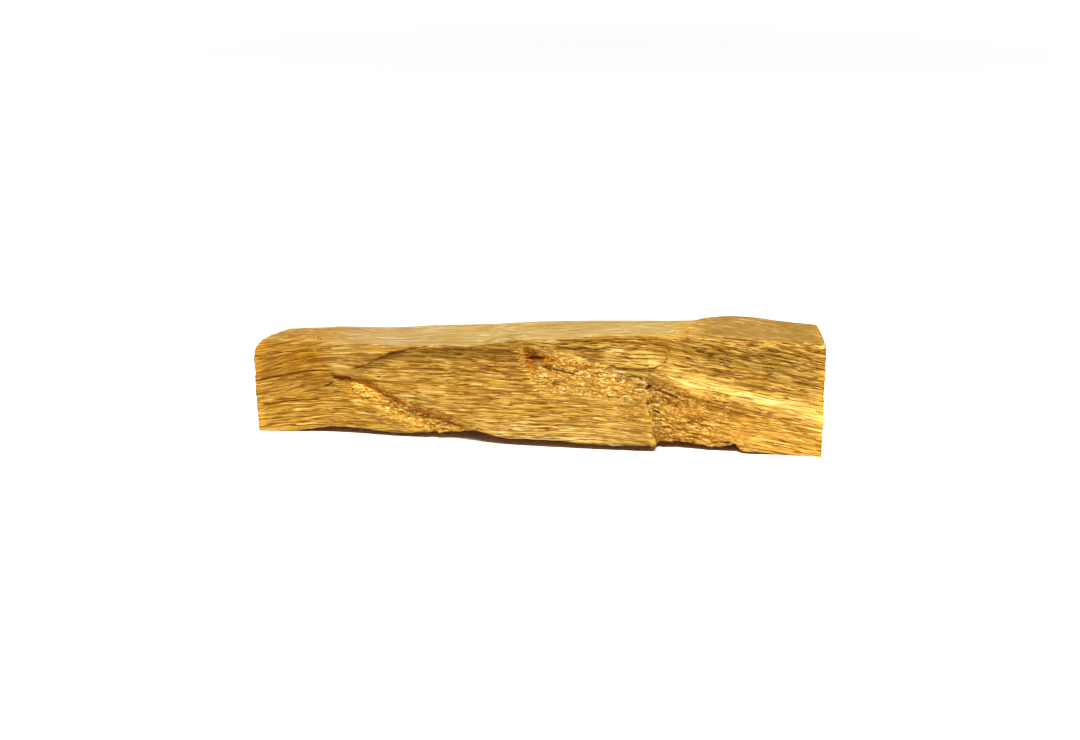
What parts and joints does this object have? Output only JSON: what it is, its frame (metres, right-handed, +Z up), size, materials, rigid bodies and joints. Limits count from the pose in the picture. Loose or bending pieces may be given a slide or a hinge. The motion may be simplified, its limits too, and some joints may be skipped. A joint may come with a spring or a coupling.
{
  "type": "palo santo stick",
  "caption": "Split stick of palo santo heartwood with a torn front face and a thicker right end; it lies on a table or in a dish to be smelled or burned as incense.",
  "frame": {"origin": "centre of the bounding box in plan, on the surface the stick lies on", "axes": "+X along the stick to its thicker end, -Y out of the torn front face, +Z up"},
  "size_m": [0.1002, 0.0179, 0.0229],
  "materials": {
    "palo_santo_wood": "dry, unfinished split heartwood, dull with a faint oily sheen along the grain"
  },
  "bodies": {
    "root": {"palo_santo_stick": "palo_santo_wood"}
  },
  "joints": []
}
